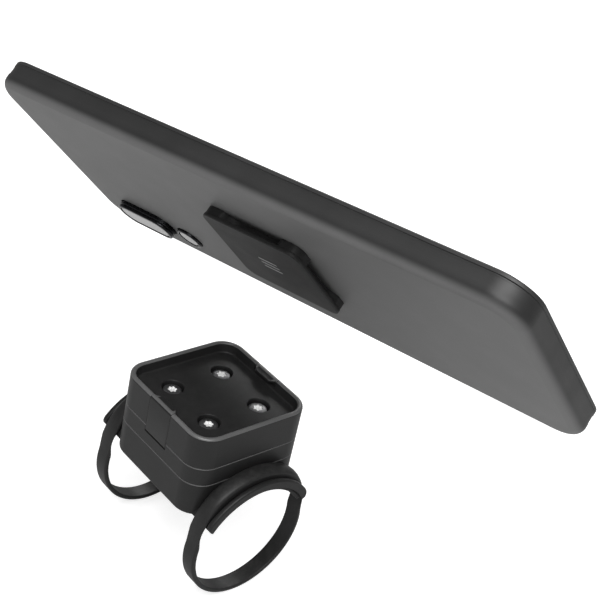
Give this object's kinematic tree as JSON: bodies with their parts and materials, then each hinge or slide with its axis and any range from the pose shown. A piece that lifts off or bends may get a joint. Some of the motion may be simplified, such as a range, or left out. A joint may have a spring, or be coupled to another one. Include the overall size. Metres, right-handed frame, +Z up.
{
  "type": "phone mount",
  "caption": "Bicycle stem phone mount: strapped-on head with a square latching tray and screwed floor, and the phone case whose square adapter plate clicks into it.",
  "frame": {"origin": "on the axis of the round stem that the head is strapped to, under the middle of the tray", "axes": "+Z up through the tray, +Y forward along the stem, +X to the rider's right"},
  "size_m": [0.079, 0.1714, 0.1373],
  "materials": {
    "housing_plastic": "fine matt moulded texture",
    "lever_plastic": "fine matt moulded texture",
    "pad_rubber": "matt rubber",
    "strap_rubber": "satin rubber",
    "adapter_plastic": "matt moulded plastic",
    "case_plastic": "satin soft-touch plastic",
    "case_rubber": "matt rubber",
    "bezel_metal": "dark anodised",
    "window_glass": "smoked flat glass",
    "blackened_steel": "blackened steel",
    "spring_steel": "bright drawn wire",
    "brass": "machined brass"
  },
  "bodies": {
    "head": {"saddle_base": "housing_plastic", "saddle_pad": "pad_rubber", "strap_front": "strap_rubber", "strap_rear": "strap_rubber", "mid_frame": "housing_plastic", "top_housing": "housing_plastic", "torx_screw_1": "blackened_steel", "torx_screw_2": "blackened_steel", "torx_screw_3": "blackened_steel", "torx_screw_4": "blackened_steel", "threaded_insert_1": "brass", "threaded_insert_2": "brass", "threaded_insert_3": "brass", "threaded_insert_4": "brass", "latch_pin_left": "blackened_steel", "latch_pin_right": "blackened_steel", "latch_spring_left": "spring_steel", "latch_spring_right": "spring_steel"},
    "lever_left": {"latch_left": "lever_plastic"},
    "lever_right": {"latch_right": "lever_plastic"},
    "phone_case": {"adapter_plate": "adapter_plastic", "case_shell": "case_plastic", "case_bumper": "case_rubber", "camera_bezel": "bezel_metal", "camera_glass": "window_glass", "flash_bezel": "bezel_metal", "flash_glass": "window_glass"},
    "power_button": {"power_key": "case_rubber"},
    "volume_button": {"volume_key": "case_rubber"}
  },
  "joints": [
    {"name": "case_dock", "type": "hinge", "parent": "head", "child": "phone_case", "pos_m": [0.05161, 0.00878, 0.04825], "axis": [-0.2019, 0.972, 0.1202], "range_deg": [-47.18, 0]},
    {"name": "latch_left", "type": "hinge", "parent": "head", "child": "lever_left", "pos_m": [-0.0167, 0, 0.0284], "axis": [0, -1, 0], "range_deg": [0, 11], "stiffness_Nm_per_rad": 0.06, "springref_deg": -8.59, "deforming": ["latch_spring_left"]},
    {"name": "latch_right", "type": "hinge", "parent": "head", "child": "lever_right", "pos_m": [0.0167, 0, 0.0284], "axis": [0, 1, 0], "range_deg": [0, 11], "stiffness_Nm_per_rad": 0.06, "springref_deg": -8.59, "deforming": ["latch_spring_right"]},
    {"name": "power_press", "type": "slide", "parent": "phone_case", "child": "power_button", "axis": [-0.6928, -0.0253, 0.7207], "range_m": [0, 0.0005], "stiffness_N_per_m": 2500, "springref_m": -0.0003},
    {"name": "volume_press", "type": "slide", "parent": "phone_case", "child": "volume_button", "axis": [-0.6928, -0.0253, 0.7207], "range_m": [0, 0.0005], "stiffness_N_per_m": 2500, "springref_m": -0.0003}
  ]
}
